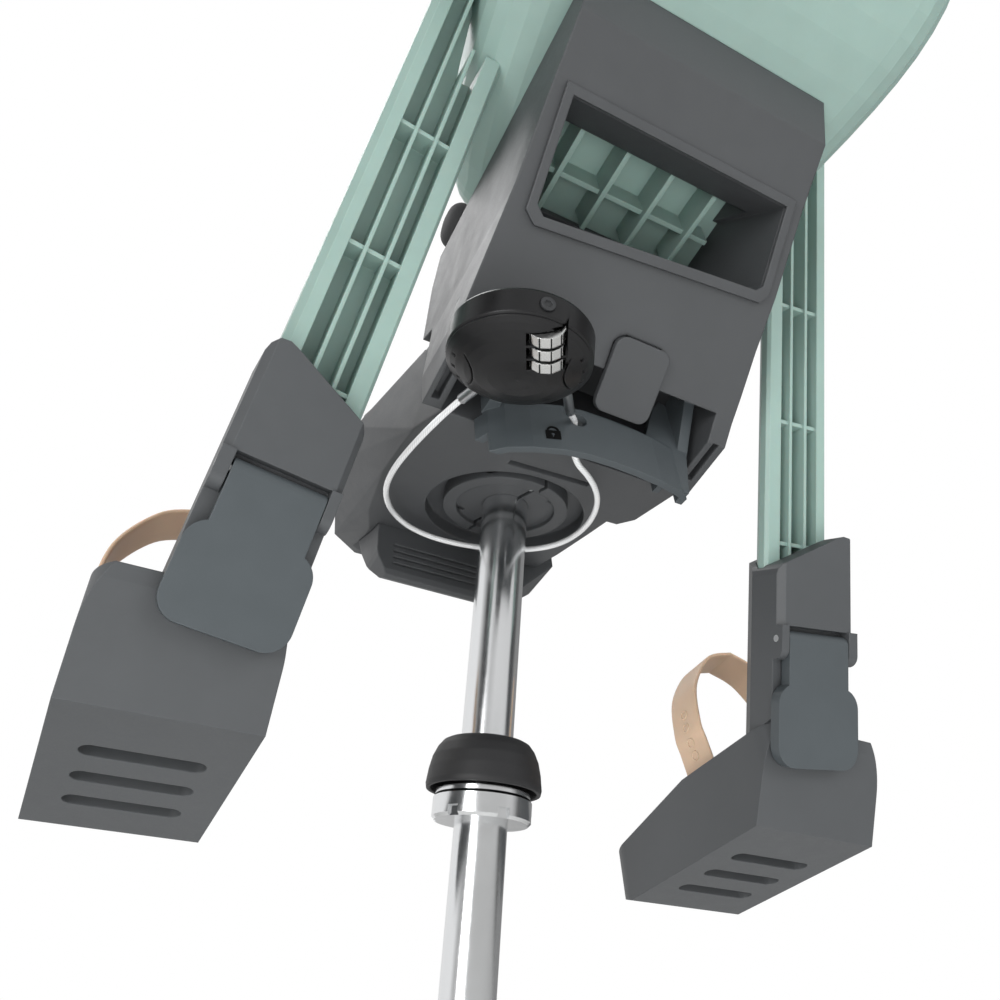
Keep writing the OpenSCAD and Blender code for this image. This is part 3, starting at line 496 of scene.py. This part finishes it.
def cushion(name, path, side, width, thick, mat, body, voxel, cap, channels, node, limits,
            crown=0.35):
    """A padded form on a path: crowned, waisted, inflated, then quilted along its channels.

    A channel is (axis, value, low, high): "x" runs along the path, and "s" across it.
    limits is how far in and out of the path the finished surface may lie.
    """
    along = lengths(path)
    total = along[-1]

    def section(i, s):
        d = along[i]
        end = min(1.0, min(d, total - d) / END_ROUND)
        round_end = math.sqrt(max(0.0, 1 - (1 - end) ** 2))
        waist = 1 - 0.035 * math.sin(math.pi * s)
        half = width / 2 * waist - 0.014 * (1 - round_end)
        loop = []
        for k in range(40):
            a = 2 * math.pi * k / 40
            c, q = math.cos(a), math.sin(a)
            x = half * math.copysign(abs(c) ** 0.35, c)
            swellup = 1 - crown * (abs(x) / half) ** 3
            z = thick / 2 * (0.3 + 0.7 * round_end) * math.copysign(abs(q) ** 0.6, q) * swellup
            loop.append((x, z))
        return loop

    verts, faces, _ = loft(path, side, section)
    obj = make(name, verts, faces, mat, body)
    swell(obj, voxel, cap)
    spots = []
    for v in obj.data.vertices:
        d, across, out, normal = path_place(path, along, side, v.co)
        pull = 0.0
        for axis, value, low, high in channels:
            here, other = (d, across) if axis == "s" else (across, d)
            if low <= other <= high:
                pull = max(pull, math.exp(-((here - value) / CHANNEL_HALF) ** 2))
        left = out * (1 - CHANNEL_PULL * pull)
        v.co -= normal * out * CHANNEL_PULL * pull
        v.co += normal * (min(limits[1], max(limits[0], left)) - left)
    obj.data.update()
    bvh = BVHTree.FromPolygons([v.co.copy() for v in obj.data.vertices],
                               [tuple(p.vertices) for p in obj.data.polygons])
    normals = frames(path, side)
    for axis, value, low, high in channels:
        count = int((high - low) / STITCH_PITCH)
        for k in range(count):
            other = low + (k + 0.5) * STITCH_PITCH
            d, across = (value, other) if axis == "s" else (other, value)
            i = nearest(along, d)
            tangent, normal = normals[i]
            top = path[i] + tangent * (d - along[i]) + side * across
            hit = bvh.ray_cast(top + normal * 0.03, -normal)
            if hit[0] is not None:
                spots.append((hit[0], side if axis == "s" else tangent, normal))
    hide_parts(node)
    stitches(name + "_stitching", spots, body)


X = Vector((1, 0, 0))
Y = Vector((0, 1, 0))
SEAT = "seat"

# ---------------------------------------------------------------- seat pad and back pad
FAN = Vector((0, 160, 275))


def lifted(profile, height):
    """The pan's own line, moved off it towards the child by a height in millimetres."""
    result = []
    for p in spline([Vector((0, y, z)) for y, z in profile], 8):
        q = p + height * (FAN - p).normalized()
        result.append(mm(0, q.y, q.z))
    return result


seat_path = lifted(((106, 104.2), (140, 104.2), (180, 104.2), (214, 105.2), (240, 110.2),
                    (258, 118.6)), 7)
seat_total = lengths(seat_path)[-1]
cushion("seat_pad", seat_path, X, 0.117, 0.0078, "cushion_fabric", SEAT, 0.0036, 0.0014,
        [("x", -0.030, 0.010, 0.050), ("x", 0.0, 0.010, 0.050), ("x", 0.030, 0.010, 0.050),
         ("s", 0.052, -0.050, 0.050), ("s", 0.098, -0.050, 0.050),
         ("x", -0.030, 0.104, seat_total - 0.010), ("x", 0.030, 0.104, seat_total - 0.010)],
        "seat_cushion", limits=(-0.0050, 0.0050))

back_path = lifted(((288, 176), (292.5, 195), (299, 225), (307, 265), (315, 305), (322, 342),
                    (325.5, 356)), 7.6)
back_total = lengths(back_path)[-1]
cushion("back_pad", back_path, X, 0.129, 0.0080, "back_fabric", SEAT, 0.0036, 0.0015,
        [("s", back_total * 0.22, -0.055, 0.055), ("s", back_total * 0.42, -0.055, 0.055),
         ("s", back_total * 0.62, -0.055, 0.055)],
        "back_cushion", limits=(-0.0054, 0.0054))

# ---------------------------------------------------------------- harness
STRAP_X = 36
WEB_WIDTH = 0.024
WEB_THICK = 0.0016
SEAM_SPREAD = 0.0095
SEAM_START = 0.014
strap_line = [Vector((0, y, z)) for y, z in (
    (318, 323.2), (306, 322), (299, 316), (290.5, 290), (284.5, 260), (278, 225), (268, 195),
    (250, 163), (228, 136), (214, 127.5))]
pad_line = [Vector((0, y, z)) for y, z in ((286.3, 291), (280.3, 261), (273.8, 226), (263.8, 197))]
for label, s in (("left", 1), ("right", -1)):
    line = [mm(s * STRAP_X, p.y, p.z) for p in spline(strap_line, 6)]
    strap = band(label + "_harness_strap", line, X, WEB_WIDTH, WEB_THICK, "webbing", SEAT)
    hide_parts(label + "_shoulder_strap")
    spots = []
    walk = lengths(line)
    for k in range(10):
        for across in (-SEAM_SPREAD, SEAM_SPREAD):
            i = nearest(walk, walk[-1] - SEAM_START - k * STITCH_PITCH)
            tangent, normal = frames(line, X)[i]
            spots.append((line[i] + X * across + normal * (WEB_THICK / 2), tangent, normal))
    stitches(label + "_strap_stitching", spots, SEAT)
    pads = [mm(s * STRAP_X, p.y, p.z) for p in spline(pad_line, 12)]
    pad_total = lengths(pads)[-1]
    cushion(label + "_strap_pad", pads, X, 0.0365, 0.0048, "pad_fabric", SEAT, 0.0022, 0.0007,
            [("x", -0.0135, 0.006, pad_total - 0.006), ("x", 0.0135, 0.006, pad_total - 0.006)],
            label + "_shoulder_pad", crown=0.3, limits=(-0.0029, 0.0031))

crotch = [mm(0, y, z) for y, z in ((170, 101.5), (170, 112), (171, 119), (176, 123.5), (185.6, 124.5))]
crotch_band = band("crotch_webbing", spline(crotch, 6), X, WEB_WIDTH, WEB_THICK, "webbing", SEAT)
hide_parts("crotch_strap")

# ---------------------------------------------------------------- hand grip
GRIP_HW = 40.7
GRIP_Y = 22
GRIP_Z = 212
GRIP_ROUND = 8
RIB_PITCH = 4.7
RIB_DEPTH = 0.55
GRIP_RING = 48
GRIP_STEPS = 80
grip_verts, grip_faces = [], []
for i in range(GRIP_STEPS + 1):
    x = GRIP_HW * (2 * (i / GRIP_STEPS) - 1)
    inner = min(1.0, (GRIP_HW - abs(x)) / GRIP_ROUND)
    radius = 6.5 + 8.4 * math.sqrt(max(0.0, 1 - (1 - inner) ** 2))
    if abs(x) < GRIP_HW - GRIP_ROUND - 1:
        radius -= RIB_DEPTH * (0.5 + 0.5 * math.cos(2 * math.pi * x / RIB_PITCH)) ** 3
    for k in range(GRIP_RING):
        a = 2 * math.pi * k / GRIP_RING
        grip_verts.append(mm(x, GRIP_Y + radius * math.cos(a), GRIP_Z + radius * math.sin(a)))
for i in range(GRIP_STEPS):
    for k in range(GRIP_RING):
        a, b = i * GRIP_RING + k, i * GRIP_RING + (k + 1) % GRIP_RING
        grip_faces.append((a, b, b + GRIP_RING, a + GRIP_RING))
grip_faces.append(tuple(range(GRIP_RING - 1, -1, -1)))
grip_faces.append(tuple(range(len(grip_verts) - GRIP_RING, len(grip_verts))))
grip = make("hand_grip", grip_verts, grip_faces, "grip_foam", SEAT)
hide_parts("grip_pad")

# ---------------------------------------------------------------- foot straps
TRAY_X = 137.0
FOOT_BAND_Y = -19.5
FOOT_BAND_WIDTH = 0.020
FOOT_BAND_THICK = 0.0017
EYELET_PLACES = (0.024, 0.031, 0.038, 0.045)
EYELET_RADIUS = 0.0021
EYELET_THICK = 0.00045
half = [Vector((x, 0, z)) for x, z in (
    (-29.05, -128), (-29.05, -119), (-29.05, -110.5), (-30.65, -100), (-32.05, -90), (-29, -70),
    (-16, -51.5), (0, -45))]
half = spline(half, 8)
arch = half + [Vector((-p.x, 0, p.z)) for p in reversed(half[:-1])]
for label, s in (("left", 1), ("right", -1)):
    line = [mm(s * TRAY_X + p.x, FOOT_BAND_Y, p.z) for p in arch]
    strap = band(label + "_foot_band", line, Y, FOOT_BAND_WIDTH, FOOT_BAND_THICK, "strap_rubber",
                 label + "_foot", 0.0008)
    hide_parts(label + "_foot_strap")
    verts, faces = [], []
    walk = lengths(line)
    middle = mm(s * TRAY_X, FOOT_BAND_Y, -90)
    for distance in EYELET_PLACES + tuple(walk[-1] - d for d in EYELET_PLACES):
        i = nearest(walk, distance)
        tangent, normal = frames(line, Y)[i]
        outward = normal if normal.dot(line[i] - middle) > 0 else -normal
        place = line[i] + outward * (FOOT_BAND_THICK / 2)
        eyelet(verts, faces, place, Y, tangent, outward, EYELET_RADIUS, EYELET_THICK)
    make(label + "_strap_eyelets", verts, faces, "strap_rubber", label + "_foot")

# ---------------------------------------------------------------- lock wire
plug_a, plug_b = Vector((27.3, 100.7, -30.1)), Vector((17, 87.2, -26.4))
ferrule_a, ferrule_b = Vector((54.7, 87.7, -24.95)), Vector((59, 72.5, -23.1))
route = [ferrule_a.lerp(ferrule_b, 0.55), ferrule_b]
route += [Vector(p) for p in (
    (61.8, 64, -22.6), (65, 52, -23.4), (67.8, 38, -24.3), (69.6, 22, -21.6), (66.8, 5, -16.6),
    (60.8, -7.4, -11.2), (52, -21, -6), (42.6, -29.6, -2.4), (32, -33.4, -1.6), (20, -34, -2),
    (9, -31.6, -3), (-4, -27.2, -4.8), (-18, -18.6, -8), (-27.6, -9.6, -10.6), (-31, 2, -14),
    (-31, 14, -18.8), (-29.6, 27, -22.8), (-26.6, 38.6, -25), (-21, 49.4, -27.6), (-13.8, 57.6, -29.8),
    (-6, 62.4, -30.4), (1, 66, -29.8), (5.4, 70, -26.8), (7.8, 75, -22.6), (10, 80, -21.8),
    (13, 83.4, -24))]
route += [plug_b, plug_b.lerp(plug_a, 0.35)]
KEPT_AT_START = 2
KEPT_AT_END = 7
for _ in range(2):
    softened = list(route)
    for i in range(KEPT_AT_START, len(route) - KEPT_AT_END):
        softened[i] = (route[i - 1] + 2 * route[i] + route[i + 1]) / 4
    route = softened
WIRE_RADIUS = 0.0014
wire_path = [mm(*p) for p in spline(route, 5)]
wire_length = lengths(wire_path)[-1]
wire = tube("lock_cable", wire_path, WIRE_RADIUS, "wire_coat", "handle", 16)
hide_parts("lock_wire")

# ---------------------------------------------------------------- enamel marks on the dials
DIAL_FACES = 10
DIAL_PITCH = 5.7
MARK_INNER_R = 6.55
MARK_OUTER_R = 6.86
MARK_HALF_WIDTH = 0.22
MARK_HALF_HEIGHT = 2.05
BOX_FACES = ((0, 1, 3, 2), (4, 6, 7, 5), (0, 4, 5, 1), (2, 3, 7, 6), (0, 2, 6, 4), (1, 5, 7, 3))


def turned(degrees, axis):
    return Matrix.Rotation(math.radians(degrees), 4, axis)


lock_place = (Matrix.Translation(mm(52.3, 110, -28.9)) @ turned(-17.9, "X")
              @ Matrix.Translation(Vector((-2.4, 16.7, -9.3)) * 0.001) @ turned(-30.5, "Z")
              @ turned(-76, "X"))
for number, label in enumerate(("dial_a", "dial_b", "dial_c")):
    verts, faces = [], []
    for k in range(DIAL_FACES):
        spin = lock_place @ turned(360 / DIAL_FACES * k, "Z")
        base = len(verts)
        for x in (MARK_INNER_R, MARK_OUTER_R):
            for y in (-MARK_HALF_WIDTH, MARK_HALF_WIDTH):
                for z in (-MARK_HALF_HEIGHT, MARK_HALF_HEIGHT):
                    verts.append(spin @ (Vector((x, y, (number - 1) * DIAL_PITCH + z)) * 0.001))
        faces += [tuple(base + i for i in face) for face in BOX_FACES]
    make(label + "_marks", verts, faces, "print_black", label, smooth=False)

# ---------------------------------------------------------------- floor, lights and surroundings
FLOOR_HALF = 40
FLOOR_Z = -1
FLOOR_CORNERS = ((-1, -1), (1, -1), (1, 1), (-1, 1))
floor_mesh = bpy.data.meshes.new("floor")
floor_mesh.from_pydata([(x * FLOOR_HALF, y * FLOOR_HALF, FLOOR_Z) for x, y in FLOOR_CORNERS], [],
                       [(0, 1, 2, 3)])
floor = bpy.data.objects.new("floor", floor_mesh)
floor_mesh.materials.append(surface("floor_paint", (0.86, 0.86, 0.85), rough=0.7, grain=40.0, bump=0.02,
                                    depth=0.001, vary=0.01, edge=0.0))
scene.collection.objects.link(floor)


def area_light(name, place, target, size, power, mirrored=True):
    """A round soft light, out of the camera's sight; mirrored says whether shiny metal shows it."""
    data = bpy.data.lights.new(name, "AREA")
    data.shape = "DISK"
    data.size = size
    data.energy = power
    obj = bpy.data.objects.new(name, data)
    obj.location = place
    obj.rotation_euler = (Vector(target) - Vector(place)).to_track_quat("-Z", "Y").to_euler()
    obj.visible_glossy = mirrored
    obj.visible_camera = False
    scene.collection.objects.link(obj)


area_light("key", (1.6, 1.1, -0.3), (0, 0.1, 0.15), 1.0, 16.0)
area_light("fill", (-0.9, 1.6, 0.3), (0, 0.1, 0.15), 1.1, 12.0, mirrored=False)
area_light("under", (0.15, 0.45, -0.85), (0, 0.1, 0.12), 0.8, 6.5, mirrored=False)
area_light("top", (0.5, -0.4, 2.4), (0, 0.15, 0.3), 1.8, 20.0)

world = bpy.data.worlds.new("studio")
world.use_nodes = True
scene.world = world
w = Tree(world.node_tree)
direction = w.add("SeparateXYZ", {0: w.add("TexCoord").outputs["Generated"]})
turn = w.math("ARCTAN2", direction.outputs[1], direction.outputs[0])
around = w.fit(turn, -math.pi, math.pi, 0.0, 1.0)
ramp = w.add("ValToRGB", {"Fac": around})
stops = ramp.color_ramp.elements
# Brightness of the surroundings by compass direction: the dark bands give the chrome its streaks.
BANDS = ((0.0, 0.30), (0.16, 0.30), (0.22, 0.98), (0.47, 1.05), (0.535, 0.30), (0.556, 0.04),
         (0.585, 0.05), (0.615, 1.0), (0.66, 0.62), (0.72, 0.88), (0.87, 0.82), (0.925, 0.08),
         (0.955, 0.12), (0.99, 0.30))
while len(stops) < len(BANDS):
    stops.new(0.5)
for element, (position, level) in zip(stops, BANDS):
    element.position = position
    element.color = (level, level, level, 1)
seen = w.add("Background", {"Color": (1, 1, 1, 1), "Strength": 1.0})
lit = w.add("Background", {"Color": ramp.outputs[0], "Strength": 0.85})
ray = w.add("LightPath")
both = w.add("MixShader", {0: ray.outputs["Is Camera Ray"], 1: lit.outputs[0], 2: seen.outputs[0]})
w.add("OutputWorld", {0: both.outputs[0]})
